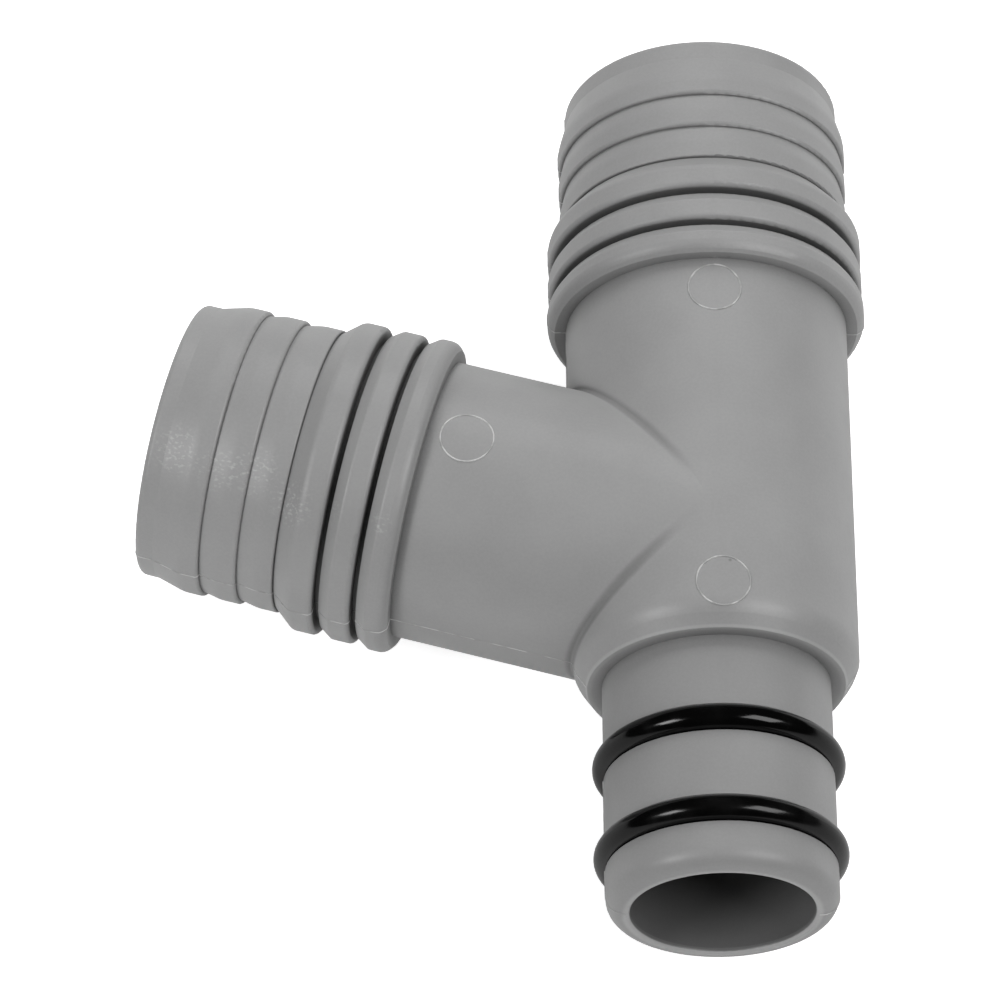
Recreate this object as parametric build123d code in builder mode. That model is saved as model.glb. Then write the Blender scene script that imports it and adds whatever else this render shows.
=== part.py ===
from build123d import *
import os

# Tubing Y connector: one moulded body with two hose barbs, and a plug-in spigot that
# carries two sealing rings. The run lies along Y, the branch leans away from it in the
# XY plane, and the origin is the centre of the shoulder face that the spigot stands on.
# Lengths are in millimetres and angles in degrees.

# Layout
branch_angle = 75  # between the run barb's centre line and the branch barb's
shoulder_to_junction = 11.95  # from the shoulder face to where the centre lines cross
run_collar_reach = 24.04  # from the crossing point to the run barb's collar
branch_collar_reach = 25.88  # from the crossing point to the branch barb's collar
junction_round = 0.3  # fillet in the crease between the two tubes

# Tubes and flow passages
tube_radius = 12.6  # run tube, beside its barb
run_tube_taper = 0.17  # the run tube is this much slimmer at the shoulder
branch_tube_inset = 0.2  # the branch tube is this much slimmer than the run tube
tube_wall = 2.3
shoulder_wall = 3.0  # from the shoulder face to the full width of the run passage
shoulder_bevel_depth = 1.25  # bevel from the shoulder face out to the run tube
shoulder_bevel_length = 1.85
shoulder_bevel_round = 3.0
edge_round = 0.1  # where a bevel meets the face it goes round
round_share = 0.8  # a rounding takes at most this share of the narrow face beside it
mouth_chamfer = 0.3  # inner edge of each barb's open end

# Hose barb: heights stand above its own tube, places run outwards from the collar face
run_barb_length = 23.47
branch_barb_length = 23.2
collar_height = 1.66
collar_width = 3.09  # from the collar face to the middle of the first groove
collar_bevel_depth = 0.65  # bevel round the collar face
collar_bevel_length = 0.55
collar_bevel_round = 1.0
tall_rib_count = 2
rib_height = 1.55
rib_pitch = 3.37
rib_shoulder_drop = 0.65  # the outer shoulder of a tall rib falls by this much
rib_shoulder_length = 0.95
rib_round = 0.45
cone_crest_round = 1.0
rib_groove_width = 0.5
rib_groove_height = 0.1
cone_crest_length = 2.1  # level top of the last tall rib
cone_length = 1.7  # from that rib's top down to the first low rib
cone_foot_height = 0.15
low_rib_count = 3
low_rib_height = 0.4
low_rib_growth = 0.06  # each low rib stands this much higher than the one before
low_rib_drop = 0.32  # from a low rib's top down to the foot of the next step
low_rib_land = 1.8  # level top of a low rib
low_rib_step_length = 0.04
low_rib_step_round = 0.3
low_rib_blend = 3.0  # rounding from the level top into the long taper
end_taper_length = 2.5  # from the last low rib's top down to the lip
lip_depth = 0.15  # the lip lies this far inside the tube's radius
lip_round = 0.55

# Spigot: places run from the shoulder face towards the open end
spigot_radius = 9.9
spigot_wall = 2.05
spigot_length = 21.4
spigot_nose_round = 1.6
spigot_rim_round = 0.35
first_ring_place = 7.75
ring_spacing = 8.46
ring_groove_width = 2.5
ring_groove_depth = 1.37

# Sealing rings
ring_cord_radius = 1.15
ring_seat_clearance = 0.02

# Sizes that follow
run_bore_radius = tube_radius - tube_wall
shoulder_radius = tube_radius - run_tube_taper
shoulder_face_radius = shoulder_radius - shoulder_bevel_depth
shoulder_edge_round = min(edge_round, round_share * (shoulder_face_radius - spigot_radius))
branch_tube_radius = tube_radius - branch_tube_inset
branch_bore_radius = branch_tube_radius - tube_wall
spigot_bore_radius = spigot_radius - spigot_wall
ring_seat_radius = spigot_radius - ring_groove_depth
ring_centre_radius = ring_seat_radius + ring_seat_clearance + ring_cord_radius
run_collar_place = shoulder_to_junction + run_collar_reach
run_end = run_collar_place + run_barb_length
branch_end = branch_collar_reach + branch_barb_length
spigot_end = -spigot_length
inner_ring_place = -first_ring_place
outer_ring_place = inner_ring_place - ring_spacing

junction = (0, shoulder_to_junction, 0)
branch_plane = Plane(junction, x_dir=(1, 0, 0), z_dir=(0, 0, 1)).rotated((0, 0, branch_angle))
branch_axis = Axis(junction, branch_plane.y_dir)


def tall_rib_corners(tube, collar_place):
    """Collar and the grooved ribs, as (radius, place, rounding) from the collar out."""
    crest = tube + collar_height
    floor = tube + rib_groove_height
    corners = [
        (crest - collar_bevel_depth, collar_place, edge_round),
        (crest, collar_place + collar_bevel_length, collar_bevel_round),
    ]
    for rib in range(tall_rib_count):
        groove_start = collar_place + collar_width + rib * rib_pitch - rib_groove_width / 2
        groove_end = groove_start + rib_groove_width
        corners += [
            (crest, groove_start - rib_shoulder_length, rib_round),
            (crest - rib_shoulder_drop, groove_start, 0),
            (floor, groove_start, 0),
            (floor, groove_end, 0),
            (tube + rib_height, groove_end, rib_round),
        ]
        crest = tube + rib_height
    return corners


def low_rib_corners(tube, first_place):
    """The low saw-tooth ribs from the cone's foot outwards, each with its step first."""
    corners = []
    foot = tube + cone_foot_height
    for rib in range(low_rib_count):
        crest = tube + low_rib_height + rib * low_rib_growth
        place = first_place + rib * rib_pitch
        step_round = min(low_rib_step_round, round_share * (crest - foot))
        corners += [
            (foot, place, 0),
            (crest, place + low_rib_step_length, step_round),
            (crest, place + low_rib_land, low_rib_blend),
        ]
        foot = crest - low_rib_drop
    return corners


def barb_corners(tube, collar_place, open_end):
    """Outer outline of the barb on a tube of that radius, from its collar to its open end."""
    last_groove = collar_place + collar_width + (tall_rib_count - 1) * rib_pitch
    cone_start = last_groove + rib_groove_width / 2 + cone_crest_length
    first_low_rib = cone_start + cone_length
    last_land_end = first_low_rib + (low_rib_count - 1) * rib_pitch + low_rib_land
    lip_radius = tube - lip_depth
    return [
        *tall_rib_corners(tube, collar_place),
        (tube + rib_height, cone_start, cone_crest_round),
        *low_rib_corners(tube, first_low_rib),
        (lip_radius, last_land_end + end_taper_length, 0),
        (lip_radius, open_end, lip_round),
    ]


def spigot_corners():
    """Outer outline of the spigot from its open end up to the shoulder's edge."""
    corners = [(spigot_radius, spigot_end, spigot_nose_round)]
    for place in (outer_ring_place, inner_ring_place):
        near = place + ring_groove_width / 2
        far = place - ring_groove_width / 2
        corners += [
            (spigot_radius, far, 0),
            (ring_seat_radius, far, 0),
            (ring_seat_radius, near, 0),
            (spigot_radius, near, 0),
        ]
    return [
        *corners,
        (spigot_radius, 0, 0),
        (shoulder_face_radius, 0, shoulder_edge_round),
        (shoulder_radius, shoulder_bevel_length, shoulder_bevel_round),
    ]


run_outline = [
    *spigot_corners(),
    (tube_radius, run_collar_place, 0),
    *barb_corners(tube_radius, run_collar_place, run_end),
]
branch_outline = [
    (branch_tube_radius, 0, 0),
    (branch_tube_radius, branch_collar_reach, 0),
    *barb_corners(branch_tube_radius, branch_collar_reach, branch_end),
]

with BuildPart() as connector_body:
    # Outside of the run, turned about its centre line
    with BuildSketch(Plane.XY):
        with BuildLine():
            FilletPolyline(
                (0, spigot_end),
                *[(radius, place) for radius, place, _ in run_outline],
                (0, run_end),
                radius=[rounding for _, _, rounding in run_outline],
            )
            Line((0, run_end), (0, spigot_end))
        make_face()
    revolve(axis=Axis.Y)

    # Outside of the branch
    with BuildSketch(branch_plane):
        with BuildLine():
            FilletPolyline(
                (0, 0),
                *[(radius, place) for radius, place, _ in branch_outline],
                (0, branch_end),
                radius=[rounding for _, _, rounding in branch_outline],
            )
            Line((0, branch_end), (0, 0))
        make_face()
    revolve(axis=branch_axis)

    # Crease where the two tubes meet: the only edge that is neither round nor straight
    crease = [
        edge
        for edge in connector_body.edges()
        if edge.geom_type not in (GeomType.CIRCLE, GeomType.LINE)
    ]
    fillet(crease, junction_round)

    # Flow passage along the run, narrowing into the spigot behind the shoulder
    with BuildSketch(Plane.XY):
        with BuildLine():
            Polyline(
                (0, spigot_end),
                (spigot_bore_radius, spigot_end),
                (spigot_bore_radius, shoulder_wall + spigot_bore_radius - run_bore_radius),
                (run_bore_radius, shoulder_wall),
                (run_bore_radius, run_end),
                (0, run_end),
                close=True,
            )
        make_face()
    revolve(axis=Axis.Y, mode=Mode.SUBTRACT)

    # Flow passage along the branch
    with BuildSketch(branch_plane):
        with Locations((branch_bore_radius / 2, branch_end / 2)):
            Rectangle(branch_bore_radius, branch_end)
    revolve(axis=branch_axis, mode=Mode.SUBTRACT)

    # Inner edges of the three open ends: the smallest circle of each end's outermost group
    rims = connector_body.edges().filter_by(GeomType.CIRCLE)
    spigot_rim = rims.group_by(Axis.Y, tol_digits=3)[0]
    fillet(spigot_rim.sort_by(SortBy.RADIUS)[0], spigot_rim_round)
    rims = connector_body.edges().filter_by(GeomType.CIRCLE)
    run_mouth = rims.group_by(Axis.Y, tol_digits=3)[-1]
    chamfer(run_mouth.sort_by(SortBy.RADIUS)[0], mouth_chamfer)
    rims = connector_body.edges().filter_by(GeomType.CIRCLE)
    branch_mouth = rims.group_by(branch_axis, tol_digits=3)[-1]
    chamfer(branch_mouth.sort_by(SortBy.RADIUS)[0], mouth_chamfer)

with BuildPart() as inner_sealing_ring:
    with BuildSketch(Plane.XY):
        with Locations((ring_centre_radius, inner_ring_place)):
            Circle(ring_cord_radius)
    revolve(axis=Axis.Y)

with BuildPart() as outer_sealing_ring:
    with BuildSketch(Plane.XY):
        with Locations((ring_centre_radius, outer_ring_place)):
            Circle(ring_cord_radius)
    revolve(axis=Axis.Y)

connector_body.part.label = "connector_body"
inner_sealing_ring.part.label = "inner_sealing_ring"
outer_sealing_ring.part.label = "outer_sealing_ring"

os.makedirs("parts", exist_ok=True)
export_step(connector_body.part, "parts/connector_body.step")
export_step(inner_sealing_ring.part, "parts/inner_sealing_ring.step")
export_step(outer_sealing_ring.part, "parts/outer_sealing_ring.step")
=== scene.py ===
"""Looks of a moulded tubing Y connector with two hose barbs and a sealed spigot.

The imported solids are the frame: +Y runs from the shoulder face towards the straight barb,
the branch leans to -X, and +Z is up. Lengths are metres unless a name says otherwise.
"""

import logging
import math
from dataclasses import dataclass
from enum import Enum

import bpy
from mathutils import Matrix, Vector


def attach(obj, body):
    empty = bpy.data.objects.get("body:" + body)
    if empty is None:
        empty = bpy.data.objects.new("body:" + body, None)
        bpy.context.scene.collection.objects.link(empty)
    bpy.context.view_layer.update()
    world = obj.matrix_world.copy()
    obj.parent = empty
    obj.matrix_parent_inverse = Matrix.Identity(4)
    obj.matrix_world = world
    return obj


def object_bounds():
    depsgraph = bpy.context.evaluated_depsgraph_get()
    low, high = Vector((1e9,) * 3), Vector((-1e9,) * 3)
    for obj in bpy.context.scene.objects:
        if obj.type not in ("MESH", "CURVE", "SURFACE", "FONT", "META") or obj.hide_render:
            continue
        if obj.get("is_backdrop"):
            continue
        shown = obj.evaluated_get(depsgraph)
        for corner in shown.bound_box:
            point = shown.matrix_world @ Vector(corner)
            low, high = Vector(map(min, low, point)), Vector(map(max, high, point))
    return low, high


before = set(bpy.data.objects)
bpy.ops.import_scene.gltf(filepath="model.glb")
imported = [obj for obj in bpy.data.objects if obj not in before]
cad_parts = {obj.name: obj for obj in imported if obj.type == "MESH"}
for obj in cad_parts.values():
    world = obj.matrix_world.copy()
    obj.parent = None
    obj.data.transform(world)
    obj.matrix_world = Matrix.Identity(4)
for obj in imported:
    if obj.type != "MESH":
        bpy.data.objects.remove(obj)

log = logging.getLogger("tubing_y_connector")
MM = 0.001
CONNECTOR = "connector_body"
RINGS = ("inner_sealing_ring", "outer_sealing_ring")


class Slot(Enum):
    """Material slots of the record."""

    PLASTIC = "moulded_plastic"
    RUBBER = "seal_rubber"


# --- Finishes -------------------------------------------------------------------------


class NodeTree:
    """One material, with short ways to add and join its shader nodes."""

    def __init__(self, name: str) -> None:
        """Makes an empty node material.

        Args:
            name: the material's name.
        """
        self.material = bpy.data.materials.new(name)
        self.material.use_nodes = True
        self.material.node_tree.nodes.clear()

    def add(self, kind: str, **settings: object) -> bpy.types.Node:
        """Adds a node and sets its properties and unlinked inputs.

        Args:
            kind: Blender's type name of the node.
            settings: property names, or input names with spaces written as underscores.

        Returns:
            The new node.
        """
        node = self.material.node_tree.nodes.new(kind)
        inputs = {socket.name.replace(" ", "_"): socket for socket in reversed(node.inputs)}
        for name, value in settings.items():
            if hasattr(node, name):
                setattr(node, name, value)
            else:
                inputs[name].default_value = value
        return node

    def join(self, source: bpy.types.NodeSocket, target: bpy.types.NodeSocket) -> None:
        """Links the source output to the target input."""
        self.material.node_tree.links.new(source, target)

    def place(self) -> bpy.types.NodeSocket:
        """Returns the place on the object, in metres."""
        return self.add("ShaderNodeTexCoord").outputs["Object"]

    def math(self, operation: str, first: object, second: object) -> bpy.types.NodeSocket:
        """Joins two values, each a socket or a number, by one sum.

        Args:
            operation: Blender's name of the sum.
            first: left value.
            second: right value.

        Returns:
            The result.
        """
        node = self.add("ShaderNodeMath", operation=operation)
        for socket, value in zip(node.inputs, (first, second)):
            if isinstance(value, bpy.types.NodeSocket):
                self.join(value, socket)
            else:
                socket.default_value = value
        return node.outputs[0]

    def vector(self, operation: str, first: object, second: object = (0, 0, 0)) -> bpy.types.Node:
        """Joins two vectors, each a socket or three numbers, by one sum.

        Args:
            operation: Blender's name of the sum.
            first: left vector.
            second: right vector.

        Returns:
            The node, whose outputs are "Vector" and "Value".
        """
        node = self.add("ShaderNodeVectorMath", operation=operation)
        for socket, value in zip(node.inputs, (first, second)):
            if isinstance(value, bpy.types.NodeSocket):
                self.join(value, socket)
            else:
                socket.default_value = value
        return node

    def noise(
        self, place: bpy.types.NodeSocket, grain: float, detail: float = 3.0
    ) -> bpy.types.NodeSocket:
        """Adds a cloudy noise from 0 to 1.

        Args:
            place: where the noise is read.
            grain: size of its features in metres.
            detail: how many finer layers it has.

        Returns:
            The noise value.
        """
        node = self.add("ShaderNodeTexNoise", Scale=1 / grain, Detail=detail)
        self.join(place, node.inputs["Vector"])
        return node.outputs[0]

    def stretched(
        self,
        place: bpy.types.NodeSocket,
        scale: tuple[float, float, float],
        turn: float = 0.0,
    ) -> bpy.types.NodeSocket:
        """Turns a place about +Z and squeezes it, so a pattern read there runs out into streaks.

        Args:
            place: place on the object.
            scale: squeeze along each turned axis, where less than 1 draws the pattern out.
            turn: degrees about +Z.

        Returns:
            The mapped place.
        """
        node = self.add("ShaderNodeMapping", vector_type="TEXTURE")
        node.inputs["Rotation"].default_value = (0, 0, math.radians(turn))
        node.inputs["Scale"].default_value = tuple(1 / share for share in scale)
        self.join(place, node.inputs["Vector"])
        return node.outputs[0]

    def ramp(
        self, value: bpy.types.NodeSocket, low: float, high: float, start: float, end: float
    ) -> bpy.types.NodeSocket:
        """Maps a value from low..high smoothly to start..end, clamped.

        Args:
            value: value to map.
            low: where the change begins.
            high: where it ends.
            start: result at or below low.
            end: result at or above high.

        Returns:
            The mapped value.
        """
        node = self.add("ShaderNodeMapRange", interpolation_type="SMOOTHSTEP")
        self.join(value, node.inputs["Value"])
        limits = {"From Min": low, "From Max": high, "To Min": start, "To Max": end}
        for name, number in limits.items():
            node.inputs[name].default_value = number
        return node.outputs[0]

    def finish(
        self,
        grey: bpy.types.NodeSocket,
        roughness: bpy.types.NodeSocket,
        height: bpy.types.NodeSocket,
        depth: float,
        specular: float = 0.5,
    ) -> bpy.types.Material:
        """Ends the tree in a solid surface of one grey.

        Args:
            grey: how light it is, as a linear share.
            roughness: its roughness.
            height: relief from 0 to 1.
            depth: height of the full relief in metres.
            specular: strength of the shine, where 0.5 is that of common plastic.

        Returns:
            The finished material.
        """
        output = self.add("ShaderNodeOutputMaterial")
        shader = self.add("ShaderNodeBsdfPrincipled", Specular_IOR_Level=specular)
        colour = self.add("ShaderNodeCombineColor")
        relief = self.add("ShaderNodeBump", Strength=1.0, Distance=depth)
        for channel in colour.inputs:
            self.join(grey, channel)
        self.join(colour.outputs[0], shader.inputs["Base Color"])
        self.join(roughness, shader.inputs["Roughness"])
        self.join(height, relief.inputs["Height"])
        self.join(relief.outputs[0], shader.inputs["Normal"])
        self.join(shader.outputs[0], output.inputs["Surface"])
        return self.material


@dataclass(frozen=True)
class Spot:
    """A round mark on the plastic: a pale scuff, a dark speck, or a broad painted shadow.

    Attributes:
        centre_mm: its place on the object.
        radius_mm: how far it reaches.
        change: what it adds to the grey at full strength.
        broken: whether it breaks up into fine flecks.
    """

    centre_mm: tuple[float, float, float]
    radius_mm: float
    change: float
    broken: bool = True


@dataclass(frozen=True)
class Passage:
    """A flow passage that runs straight out of the part.

    Attributes:
        start_mm: place on the run's centre line where it starts.
        turn: degrees from +Y to its direction, about +Z.
        bore_mm: radius of its wall.
    """

    start_mm: float
    turn: float
    bore_mm: float


SPIGOT_WAY = Passage(start_mm=3.0, turn=180, bore_mm=7.85)
RUN_WAY = Passage(start_mm=0.5, turn=0, bore_mm=10.3)
BRANCH_WAY = Passage(start_mm=11.95, turn=75, bore_mm=10.1)


@dataclass(frozen=True)
class MouldedPlastic:
    """Semi-matt grey injection-moulded plastic with handling marks, painted shade and highlights.

    A share multiplies the grey in one place: below 1 it is darker there, above 1 paler.

    Attributes:
        grey: how light the plain plastic is.
        roughness: its roughness, which varies by roughness_spread either way.
        cloud_grain: size of the broad unevenness of grey, and cloud_change its strength.
        fleck_grain: size of the fine unevenness of grey, and fleck_change its strength.
        scuff_stretch: how far scuffs draw out along the branch, where 1 is not at all.
        scuff_gaps: noise values between which a scuff goes from absent to full.
        relief: height of the surface's fine grain.
        passage_shade_share: painted shade on the walls of the flow passages, as a share.
        wall_fade: distances past a bore's radius between which that share ends.
        corner_shade_share: painted shade in tight corners, which reach corner_shade_reach out.
        open_corner: openness of a corner from which its shade starts and ends.
        crease_shade_share: painted shade in the two tubes' crease, reaching crease_reach out.
        crease_roughness: what the crease adds to the roughness.
        crease_slant: sine of the angle between the tubes' faces from which the crease
            shows, and at which it shows in full.
        run_radius: outside of the run tube at the crease.
        branch_radius: outside of the branch tube at the crease.
        spigot_shade_share: painted shade on the spigot, which blends in over spigot_fade.
        lip_highlight_share: painted highlight on the lip, from lip_place along the spigot's
            passage.
        lip_fade: distances past the bore's radius between which that share ends.
        edge_highlight_share: painted highlight at the shoulder's edge, which lies at edge_radius.
        edge_width: how far in from there that share fades.
        edge_fade: distances from the shoulder's face between which that share ends.
        spots: the marks, one of them a broad painted shadow on the spigot.
    """

    grey: float = 0.285
    roughness: float = 0.45
    roughness_spread: float = 0.03
    cloud_grain: float = 9 * MM
    cloud_change: float = 0.012
    fleck_grain: float = 0.25 * MM
    fleck_change: float = 0.006
    scuff_stretch: float = 0.55
    scuff_gaps: tuple[float, float] = (0.52, 0.68)
    relief: float = 0.004 * MM
    passage_shade_share: float = 0.4
    wall_fade: tuple[float, float] = (0.01 * MM, 0.06 * MM)
    corner_shade_reach: float = 2.4 * MM
    corner_shade_share: float = 0.36
    open_corner: tuple[float, float] = (0.25, 0.85)
    crease_reach: float = 0.85 * MM
    crease_shade_share: float = 0.7
    crease_roughness: float = 0.45
    crease_slant: tuple[float, float] = (0.1, 0.75)
    run_radius: float = 12.5 * MM
    branch_radius: float = 12.4 * MM
    spigot_shade_share: float = 0.88
    spigot_fade: tuple[float, float] = (2.6 * MM, 3.4 * MM)
    lip_highlight_share: float = 1.35
    lip_place: float = 23.9 * MM
    lip_fade: tuple[float, float] = (0.3 * MM, 0.9 * MM)
    edge_highlight_share: float = 1.22
    edge_radius: float = 11.1 * MM
    edge_width: float = 0.6 * MM
    edge_fade: tuple[float, float] = (0.1 * MM, 0.35 * MM)
    spots: tuple[Spot, ...] = (
        Spot((-46.6, 17.4, 10.4), 3.0, 0.09),
        Spot((-43.0, 15.8, 10.0), 2.6, 0.08),
        Spot((-39.9, 15.5, 10.3), 2.8, 0.10),
        Spot((-36.2, 13.0, 9.1), 2.8, 0.15),
        Spot((-32.6, 12.2, 9.6), 1.8, 0.10),
        Spot((-28.9, 10.4, 10.2), 1.4, 0.10),
        # Painted shadow: a broad soft darkening on the spigot's left side.
        Spot((-10.0, -9.5, 2.0), 9.0, -0.04, False),
        Spot((0.6, 5.8, 12.5), 0.22, -0.1, False),
        Spot((0.2, 36.4, 12.9), 0.9, 0.09),
        Spot((1.3, 36.2, 12.8), 0.4, -0.06, False),
        Spot((-43.3, 23.8, 12.4), 0.35, -0.07, False),
        Spot((-43.1, 18.4, 11.4), 0.25, -0.09, False),
    )

    def build(self) -> bpy.types.Material:
        """Returns the plastic as a node material."""
        tree = NodeTree("moulded_grey_plastic")
        place = tree.place()
        clouds = tree.noise(place, self.cloud_grain)
        cloud = tree.ramp(clouds, 0.25, 0.75, -self.cloud_change, self.cloud_change)
        fine = tree.noise(place, self.fleck_grain)
        fleck = tree.ramp(fine, 0.3, 0.7, -self.fleck_change, self.fleck_change)
        grey = tree.math("ADD", tree.math("ADD", cloud, fleck), self.grey)
        drawn_out = tree.stretched(place, (1, self.scuff_stretch, 1), BRANCH_WAY.turn)
        flecks = tree.ramp(tree.noise(drawn_out, self.fleck_grain), *self.scuff_gaps, 0, 1)
        for spot in self.spots:
            grey = tree.math("ADD", grey, self.mark(tree, place, flecks, spot))
        # Painted shade: ambient occlusion darkens the grey in tight corners.
        corners = tree.add(
            "ShaderNodeAmbientOcclusion", Distance=self.corner_shade_reach, only_local=True, samples=8
        )
        crease = self.crease(tree, place)
        shares = (
            tree.ramp(corners.outputs["AO"], *self.open_corner, self.corner_shade_share, 1),
            self.passage(tree, place),
            # Painted shade in the crease of the two tubes.
            tree.ramp(crease, 0, 1, 1, self.crease_shade_share),
            self.spigot(tree, place),
        )
        for share in shares:
            grey = tree.math("MULTIPLY", grey, share)
        wear = tree.noise(place, self.cloud_grain / 3)
        smoothest = self.roughness - self.roughness_spread
        roughest = self.roughness + self.roughness_spread
        roughness = tree.ramp(wear, 0.3, 0.7, smoothest, roughest)
        dull = tree.ramp(crease, 0, 0.5, 0, self.crease_roughness)
        roughness = tree.math("ADD", roughness, dull)
        grain = tree.noise(place, self.fleck_grain * 1.4, 4)
        return tree.finish(grey, roughness, grain, self.relief)

    def lie(
        self, tree: NodeTree, place: bpy.types.NodeSocket, way: Passage
    ) -> tuple[bpy.types.NodeSocket, bpy.types.NodeSocket]:
        """Measures how a point lies to a passage's centre line.

        Args:
            tree: the plastic's nodes.
            place: place on the object.
            way: the passage.

        Returns:
            The distance along the line from its start, and the vector from the line.
        """
        turn = math.radians(way.turn)
        line = (-math.sin(turn), math.cos(turn), 0)
        offset = tree.vector("SUBTRACT", place, (0, way.start_mm * MM, 0)).outputs["Vector"]
        along = tree.vector("DOT_PRODUCT", offset, line).outputs["Value"]
        foot = tree.vector("PROJECT", offset, line).outputs["Vector"]
        return along, tree.vector("SUBTRACT", offset, foot).outputs["Vector"]

    def passage(self, tree: NodeTree, place: bpy.types.NodeSocket) -> bpy.types.NodeSocket:
        """Paints shade on the walls of the flow passages.

        Args:
            tree: the plastic's nodes.
            place: place on the object.

        Returns:
            The share of the grey that is left: 1 outside the passages.
        """
        left = None
        for way in (SPIGOT_WAY, RUN_WAY, BRANCH_WAY):
            along, out = self.lie(tree, place, way)
            beside = tree.vector("LENGTH", out).outputs["Value"]
            low, high = (way.bore_mm * MM + fade for fade in self.wall_fade)
            # Painted shade: the grey drops to a share inside each bore's wall.
            wall = tree.ramp(beside, low, high, self.passage_shade_share, 1)
            share = tree.math("MAXIMUM", wall, tree.math("LESS_THAN", along, 0))
            left = share if left is None else tree.math("MINIMUM", left, share)
        return left

    def spigot(self, tree: NodeTree, place: bpy.types.NodeSocket) -> bpy.types.NodeSocket:
        """Paints shade on the spigot, and painted highlights on its lip and the shoulder's edge.

        Args:
            tree: the plastic's nodes.
            place: place on the object.

        Returns:
            The share of the grey: 1 away from the spigot.
        """
        along, out = self.lie(tree, place, SPIGOT_WAY)
        beside = tree.vector("LENGTH", out).outputs["Value"]
        # Painted shade: the spigot's grey is darkened.
        spigot_shade = tree.ramp(along, *self.spigot_fade, 1, self.spigot_shade_share)
        low, high = (SPIGOT_WAY.bore_mm * MM + fade for fade in self.lip_fade)
        at_rim = tree.ramp(beside, low, high, 1, 0)
        at_mouth = tree.math("GREATER_THAN", along, self.lip_place)
        lip = tree.math("MULTIPLY", at_rim, at_mouth)
        from_face = tree.math("SUBTRACT", along, SPIGOT_WAY.start_mm * MM)
        at_face = tree.ramp(tree.math("ABSOLUTE", from_face, 0), *self.edge_fade, 1, 0)
        inner = self.edge_radius - self.edge_width
        at_edge = tree.ramp(beside, inner, self.edge_radius, 0, 1)
        edge = tree.math("MULTIPLY", at_face, at_edge)
        # Painted highlight: the lip of the spigot's mouth is made paler.
        lip_highlight = tree.ramp(lip, 0, 1, 1, self.lip_highlight_share)
        # Painted highlight: a pale line along the shoulder's edge.
        edge_highlight = tree.ramp(edge, 0, 1, 1, self.edge_highlight_share)
        return tree.math("MULTIPLY", spigot_shade, tree.math("MULTIPLY", lip_highlight, edge_highlight))

    def crease(self, tree: NodeTree, place: bpy.types.NodeSocket) -> bpy.types.NodeSocket:
        """Finds the crease where the branch meets the run.

        It fades where the two tubes run into each other smoothly.

        Args:
            tree: the plastic's nodes.
            place: place on the object.

        Returns:
            How deep in the crease the point lies, from 0 to 1.
        """
        gaps, normals = [], []
        for way, radius in ((RUN_WAY, self.run_radius), (BRANCH_WAY, self.branch_radius)):
            along, out = self.lie(tree, place, way)
            beside = tree.vector("LENGTH", out).outputs["Value"]
            gaps.append(tree.math("ABSOLUTE", tree.math("SUBTRACT", beside, radius), 0))
            normals.append(tree.vector("NORMALIZE", out).outputs["Vector"])
        across = tree.vector("CROSS_PRODUCT", *normals).outputs["Vector"]
        slant = tree.vector("LENGTH", across).outputs["Value"]
        gap = tree.math("MAXIMUM", *gaps)
        apart = tree.math("DIVIDE", gap, tree.math("MAXIMUM", slant, 0.05))
        near = tree.ramp(apart, 0, self.crease_reach, 1, 0)
        shown = tree.ramp(slant, *self.crease_slant, 0, 1)
        sharp = tree.math("MULTIPLY", shown, near)
        return tree.math("MULTIPLY", sharp, tree.math("GREATER_THAN", along, 0))

    def mark(
        self,
        tree: NodeTree,
        place: bpy.types.NodeSocket,
        flecks: bpy.types.NodeSocket,
        spot: Spot,
    ) -> bpy.types.NodeSocket:
        """Adds one spot to the plastic.

        Args:
            tree: the plastic's nodes.
            place: place on the object.
            flecks: broken pattern that scuffs show through.
            spot: the mark.

        Returns:
            The change of grey that it makes.
        """
        centre = tuple(number * MM for number in spot.centre_mm)
        away = tree.vector("DISTANCE", place, centre).outputs["Value"]
        radius = spot.radius_mm * MM
        change = tree.ramp(away, 0.3 * radius, radius, spot.change, 0)
        return tree.math("MULTIPLY", change, flecks) if spot.broken else change


@dataclass(frozen=True)
class PaleFlash:
    """Plastic squeezed thin and pale where parts of the mould met.

    Attributes:
        grey: how light it is where it stands.
        worn_grey: how light it is where it has broken away.
        break_grain: length of the pieces that it breaks into.
        break_gaps: noise values between which it goes from broken to whole.
        roughness: its roughness where whole, and worn_roughness more where broken.
        relief: height of its unevenness, of the size uneven_grain.
    """

    grey: float = 0.55
    worn_grey: float = 0.33
    break_grain: float = 1.4 * MM
    break_gaps: tuple[float, float] = (0.42, 0.6)
    roughness: float = 0.38
    worn_roughness: float = 0.05
    relief: float = 0.01 * MM
    uneven_grain: float = 0.3 * MM

    def build(self) -> bpy.types.Material:
        """Returns the flash as a node material that is paler in places."""
        tree = NodeTree("pale_mould_flash")
        place = tree.place()
        patches = tree.noise(place, self.break_grain, 2)
        grey = tree.ramp(patches, *self.break_gaps, self.worn_grey, self.grey)
        roughest = self.roughness + self.worn_roughness
        roughness = tree.ramp(patches, 0.3, 0.7, roughest, self.roughness)
        return tree.finish(grey, roughness, tree.noise(place, self.uneven_grain), self.relief)


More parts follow.
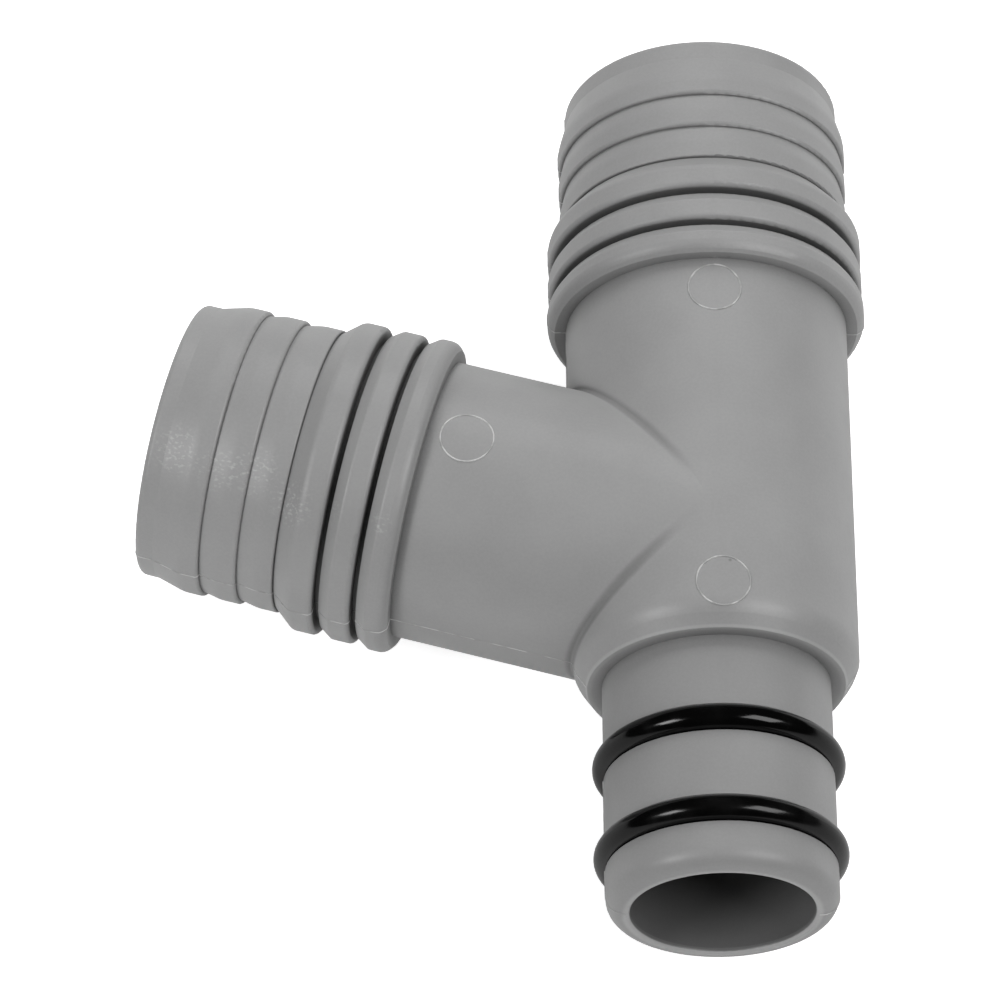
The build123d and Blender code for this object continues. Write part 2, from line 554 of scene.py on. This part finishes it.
@dataclass(frozen=True)
class SealRubber:
    """Smooth black seal rubber with a soft sheen.

    Attributes:
        grey: how light it is where clean, and dust_change more where dusty.
        dust_grain: size of the dusty patches.
        roughness: its middle roughness, less clean_smoothness or plus dust_roughness.
        grain: size of the surface's unevenness, and relief its height.
        specular: strength of its shine.
    """

    grey: float = 0.002
    dust_change: float = 0.003
    dust_grain: float = 2.5 * MM
    roughness: float = 0.14
    clean_smoothness: float = 0.03
    dust_roughness: float = 0.06
    grain: float = 0.5 * MM
    relief: float = 0.002 * MM
    specular: float = 0.25

    def build(self) -> bpy.types.Material:
        """Returns the rubber as a node material."""
        tree = NodeTree("black_seal_rubber")
        place = tree.place()
        dust = tree.noise(place, self.dust_grain, 5)
        grey = tree.ramp(dust, 0.45, 0.8, self.grey, self.grey + self.dust_change)
        smoothest = self.roughness - self.clean_smoothness
        roughest = self.roughness + self.dust_roughness
        roughness = tree.ramp(dust, 0.3, 0.7, smoothest, roughest)
        uneven = tree.noise(place, self.grain)
        return tree.finish(grey, roughness, uneven, self.relief, self.specular)


# --- Pieces ---------------------------------------------------------------------------


def select_only(piece: bpy.types.Object) -> None:
    """Selects one object, and nothing else, and makes it the active one.

    Args:
        piece: the object.
    """
    bpy.ops.object.select_all(action="DESELECT")
    piece.select_set(True)
    bpy.context.view_layer.objects.active = piece


def bead(piece: bpy.types.Object, radius: float) -> bpy.types.Object:
    """Turns a mesh that is only edges into a round bead along them.

    Args:
        piece: object whose mesh has edges and no faces.
        radius: half the bead's width.

    Returns:
        The bead as a mesh object.
    """
    select_only(piece)
    bpy.ops.object.convert(target="CURVE")
    curve = bpy.context.object
    curve.data.dimensions = "3D"
    curve.data.bevel_depth = radius
    curve.data.bevel_resolution = 1
    curve.data.use_fill_caps = True
    bpy.ops.object.convert(target="MESH")
    made = bpy.context.object
    bpy.ops.object.shade_smooth()
    return made


def fit_out(
    piece: bpy.types.Object, name: str, material: bpy.types.Material
) -> None:
    """Names and dresses a finished piece and joins it to the part.

    Args:
        piece: the finished mesh object.
        name: its name.
        material: its finish.
    """
    piece.name = name
    piece.data.name = name
    piece.data.materials.clear()
    piece.data.materials.append(material)
    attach(piece, "root")
    log.info("built %s: %d faces", name, len(piece.data.polygons))


def dress(node: str, material: bpy.types.Material) -> None:
    """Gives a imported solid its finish.

    Args:
        node: name of the solid.
        material: its finish.
    """
    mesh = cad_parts[node].data
    mesh.materials.clear()
    mesh.materials.append(material)
    log.info("dressed %s with %s", node, material.name)


@dataclass(frozen=True)
class MouldSeam:
    """Thin raised line round the body in the plane where the two mould halves met.

    Attributes:
        radius: half its width.
        bore_margin: how far past a bore's wall the section is still left out.
        spigot_radius: outside of the spigot, and groove_margin how far below it the
            section is still kept.
        spigot_nose: place beyond which the spigot has no more grooves.
        nose_rim: radius inside which the nose's section is left out.
        weld: distance within which the copy's loose corners are merged.
        step: distance within which the outline's corners are merged.
    """

    radius: float = 0.055 * MM
    bore_margin: float = 0.45 * MM
    spigot_radius: float = 9.9 * MM
    groove_margin: float = 0.1 * MM
    spigot_nose: float = -17.6 * MM
    nose_rim: float = 8.15 * MM
    weld: float = 1e-7
    step: float = 0.01 * MM

    def outside(self, point: Vector) -> bool:
        """Says whether a point of the middle plane lies on the outer surface.

        Args:
            point: a point of the section, in the row frame.

        Returns:
            False inside the flow passages and in the ring grooves.
        """
        if point.y < self.spigot_nose:
            return abs(point.x) > self.nose_rim
        if point.y < 0:
            return abs(point.x) > self.spigot_radius - self.groove_margin
        turn = math.radians(BRANCH_WAY.turn)
        away = Vector((-math.sin(turn), math.cos(turn), 0))
        offset = point - Vector((0, BRANCH_WAY.start_mm * MM, 0))
        beside = (offset - away * offset.dot(away)).length
        branch_wall = BRANCH_WAY.bore_mm * MM + self.bore_margin
        run_wall = RUN_WAY.bore_mm * MM + self.bore_margin
        in_branch = offset.dot(away) > 0 and beside < branch_wall
        return abs(point.x) > run_wall and not in_branch

    def build(self, flash: bpy.types.Material) -> None:
        """Cuts the body's copy at the middle plane and makes a bead of the outer outline.

        Args:
            flash: finish of the seam.
        """
        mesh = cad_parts[CONNECTOR].data.copy()
        piece = bpy.data.objects.new("mould_seam", mesh)
        bpy.context.scene.collection.objects.link(piece)
        select_only(piece)
        bpy.ops.object.mode_set(mode="EDIT")
        bpy.ops.mesh.select_all(action="SELECT")
        bpy.ops.mesh.remove_doubles(threshold=self.weld)
        bpy.ops.mesh.bisect(
            plane_co=(0, 0, 0), plane_no=(0, 0, 1), clear_inner=True, clear_outer=True
        )
        bpy.ops.mesh.select_mode(type="VERT")
        bpy.ops.mesh.select_all(action="DESELECT")
        bpy.ops.object.mode_set(mode="OBJECT")
        for vertex in mesh.vertices:
            vertex.select = not self.outside(vertex.co)
        bpy.ops.object.mode_set(mode="EDIT")
        bpy.ops.mesh.delete(type="VERT")
        bpy.ops.mesh.select_all(action="SELECT")
        bpy.ops.mesh.remove_doubles(threshold=self.step)
        bpy.ops.object.mode_set(mode="OBJECT")
        fit_out(bead(piece, self.radius), "mould_seam", flash)


@dataclass(frozen=True)
class PinMarks:
    """Round lines on the tops of the tubes, as ejector pins leave them.

    Attributes:
        radius: radius of each circle.
        line: half the line's width.
        sides: corners of each circle.
        start_height: height from which the circles are dropped on the body.
        centres_mm: name of each line, and where it lies along X and Y.
    """

    radius: float = 2.3 * MM
    line: float = 0.08 * MM
    sides: int = 96
    start_height: float = 30 * MM
    centres_mm: tuple[tuple[str, float, float], ...] = (
        ("pin_mark_by_barb", 0.0, 33.06),
        ("pin_mark_by_shoulder", 0.0, 3.9),
        ("pin_mark_on_branch", -21.67, 17.75),
    )

    def build(self, flash: bpy.types.Material) -> None:
        """Drops a circle on the body for each pin and makes a bead of it.

        Args:
            flash: finish of the lines.
        """
        for name, x, y in self.centres_mm:
            bpy.ops.object.select_all(action="DESELECT")
            bpy.ops.mesh.primitive_circle_add(
                vertices=self.sides,
                radius=self.radius,
                location=(x * MM, y * MM, self.start_height),
            )
            circle = bpy.context.object
            bpy.ops.object.transform_apply(location=True)
            drop = circle.modifiers.new("drop", "SHRINKWRAP")
            drop.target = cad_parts[CONNECTOR]
            drop.wrap_method = "PROJECT"
            drop.use_project_z = True
            drop.use_negative_direction = True
            drop.use_positive_direction = False
            bpy.ops.object.modifier_apply(modifier=drop.name)
            fit_out(bead(circle, self.line), name, flash)


@dataclass(frozen=True)
class Connector:
    """The moulded body with the marks that its mould left on it."""

    plastic: MouldedPlastic = MouldedPlastic()
    flash: PaleFlash = PaleFlash()
    seam: MouldSeam = MouldSeam()
    pins: PinMarks = PinMarks()

    def build(self) -> None:
        """Dresses the body and adds its mould marks."""
        dress(CONNECTOR, self.plastic.build())
        flash = self.flash.build()
        self.seam.build(flash)
        self.pins.build(flash)


@dataclass(frozen=True)
class SealingRings:
    """The two rubber rings of the spigot."""

    rubber: SealRubber = SealRubber()

    def build(self) -> None:
        """Dresses both rings in one rubber."""
        rubber = self.rubber.build()
        for node in RINGS:
            dress(node, rubber)


# --- Stage ----------------------------------------------------------------------------


@dataclass(frozen=True)
class StudioFloor:
    """Plain pale floor that shows white and keeps the object's soft shadow.

    Attributes:
        size: its side.
        albedo: how light it is.
        glow: strength of its whole glow, as the camera sees it.
        bounce: the part of the glow that also lights the object from below.
        reflected_share: how much of the floor shows in reflections, without the glow
            that only the camera sees.
    """

    size: float = 3.0
    albedo: float = 0.80
    glow: float = 0.75
    bounce: float = 0.3
    reflected_share: float = 0.7

    def material(self) -> bpy.types.Material:
        """Returns a pale matt finish with its glow for the camera and for the object."""
        tree = NodeTree("pale_floor")
        output = tree.add("ShaderNodeOutputMaterial")
        matt = tree.add("ShaderNodeBsdfDiffuse")
        path = tree.add("ShaderNodeLightPath")
        glow = tree.add("ShaderNodeEmission", Color=(1, 1, 1, 1))
        both = tree.add("ShaderNodeAddShader")
        seen = tree.math("MULTIPLY", path.outputs["Is Camera Ray"], self.glow - self.bounce)
        mirrored = tree.ramp(path.outputs["Is Glossy Ray"], 0, 1, 1, self.reflected_share)
        level = tree.math("MULTIPLY", tree.math("ADD", seen, self.bounce), mirrored)
        colour = tree.add("ShaderNodeCombineColor")
        for channel in colour.inputs:
            tree.join(tree.math("MULTIPLY", mirrored, self.albedo), channel)
        tree.join(colour.outputs[0], matt.inputs["Color"])
        tree.join(level, glow.inputs["Strength"])
        tree.join(matt.outputs[0], both.inputs[0])
        tree.join(glow.outputs[0], both.inputs[1])
        tree.join(both.outputs[0], output.inputs["Surface"])
        return tree.material

    def build(self, height: float) -> None:
        """Lays the floor and marks it as stage.

        Args:
            height: its height.
        """
        bpy.ops.object.select_all(action="DESELECT")
        bpy.ops.mesh.primitive_plane_add(size=self.size, location=(0, 0, height))
        floor = bpy.context.object
        floor.name = "floor"
        floor.data.materials.append(self.material())
        floor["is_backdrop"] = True


def direction(azimuth: float, elevation: float) -> Vector:
    """Returns the unit vector towards a place round the part.

    Args:
        azimuth: degrees from -Y towards +X.
        elevation: degrees above the floor.

    Returns:
        The vector away from the part.
    """
    turn, rise = math.radians(azimuth), math.radians(elevation)
    return Vector(
        (math.sin(turn) * math.cos(rise), -math.cos(turn) * math.cos(rise), math.sin(rise))
    )


@dataclass(frozen=True)
class SoftLight:
    """A square softbox aimed at a point.

    Attributes:
        name: name of the lamp.
        azimuth: degrees from -Y towards +X.
        elevation: degrees above the floor.
        size: side of the box.
        radiance: how bright its face is, where 1 shows as white.
        mirrored: whether shiny surfaces show its reflection.
        distance: how far it hangs from the point.
    """

    name: str
    azimuth: float
    elevation: float
    size: float
    radiance: float
    mirrored: bool = True
    distance: float = 0.6

    def build(self, aim: Vector) -> None:
        """Hangs the lamp.

        Args:
            aim: point that it faces.
        """
        way = direction(self.azimuth, self.elevation)
        bpy.ops.object.select_all(action="DESELECT")
        bpy.ops.object.light_add(type="AREA", location=aim + way * self.distance)
        lamp = bpy.context.object
        lamp.name = self.name
        lamp.rotation_euler = way.to_track_quat("Z", "Y").to_euler()
        lamp.data.size = self.size
        lamp.data.energy = self.radiance * math.pi * self.size**2
        lamp.visible_glossy = self.mirrored


@dataclass(frozen=True)
class PaleSurround:
    """Surround that shows white behind the object and can fill its shadows.

    Attributes:
        fill: light that it casts on the object, where 0 leaves the lamps and floor alone.
    """

    fill: float = 0.0

    def build(self) -> None:
        """Makes the world and its nodes."""
        world = bpy.data.worlds.new("pale_surround")
        world.use_nodes = True
        bpy.context.scene.world = world
        nodes, links = world.node_tree.nodes, world.node_tree.links
        nodes.clear()
        output = nodes.new("ShaderNodeOutputWorld")
        backdrop = nodes.new("ShaderNodeBackground")
        backdrop.inputs["Color"].default_value = (1, 1, 1, 1)
        backdrop.inputs["Strength"].default_value = 1.0
        fill = nodes.new("ShaderNodeBackground")
        fill.inputs["Color"].default_value = (1, 1, 1, 1)
        fill.inputs["Strength"].default_value = self.fill
        path = nodes.new("ShaderNodeLightPath")
        choose = nodes.new("ShaderNodeMixShader")
        links.new(path.outputs["Is Camera Ray"], choose.inputs[0])
        links.new(fill.outputs[0], choose.inputs[1])
        links.new(backdrop.outputs[0], choose.inputs[2])
        links.new(choose.outputs[0], output.inputs["Surface"])


@dataclass(frozen=True)
class ProductCamera:
    """Camera above the object, slightly rolled, with a long lens."""

    azimuth: float = -2.18107
    elevation: float = 60.1937
    roll: float = 2.22564
    aim: tuple[float, float, float] = (-18.594 * MM, 18.635 * MM, 0.0)
    distance: float = 432.404 * MM
    focal_share: float = 4.9082368
    sensor: float = 36.0

    def build(self) -> None:
        """Places the camera and makes it the scene's own."""
        roll = math.radians(self.roll)
        back = direction(self.azimuth, self.elevation)
        level = back.cross(Vector((0, 0, 1))).normalized() * -1
        upright = back.cross(level)
        right = math.cos(roll) * level + math.sin(roll) * upright
        up = -math.sin(roll) * level + math.cos(roll) * upright
        data = bpy.data.cameras.new("product_camera")
        data.sensor_width = self.sensor
        data.lens = self.focal_share * self.sensor
        camera = bpy.data.objects.new("product_camera", data)
        bpy.context.scene.collection.objects.link(camera)
        place = Matrix((right, up, back)).transposed().to_4x4()
        place.translation = Vector(self.aim) + back * self.distance
        camera.matrix_world = place
        data.clip_start, data.clip_end = 0.01, 10
        bpy.context.scene.camera = camera


@dataclass(frozen=True)
class Studio:
    """Floor, surround, lamps and camera."""

    floor: StudioFloor = StudioFloor()
    surround: PaleSurround = PaleSurround()
    lamps: tuple[SoftLight, ...] = (
        SoftLight("left_softbox", -65, 41, 0.18, 14.2),
        SoftLight("right_softbox", 65, 50, 0.3, 7.0),
        SoftLight("back_softbox", 180, 40, 0.35, 6.1, False),
        SoftLight("back_right_softbox", 130, 40, 0.35, 1.1, False),
        SoftLight("low_left_softbox", -40, 20, 0.35, 1.2, False),
    )
    camera: ProductCamera = ProductCamera()

    def build(self, box: tuple[Vector, Vector]) -> None:
        """Sets up the stage.

        Args:
            box: lowest and highest corner of the part.
        """
        self.floor.build(box[0].z)
        for lamp in self.lamps:
            lamp.build((box[0] + box[1]) / 2)
        self.surround.build()
        self.camera.build()
        bpy.context.scene.view_settings.view_transform = "Standard"


def main() -> None:
    """Builds the pieces, the stage, the light and the camera in order."""
    logging.basicConfig(level=logging.INFO, format="%(name)s: %(message)s")
    cad_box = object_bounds()
    Connector().build()
    SealingRings().build()
    Studio().build(cad_box)


if __name__ == "__main__":
    main()
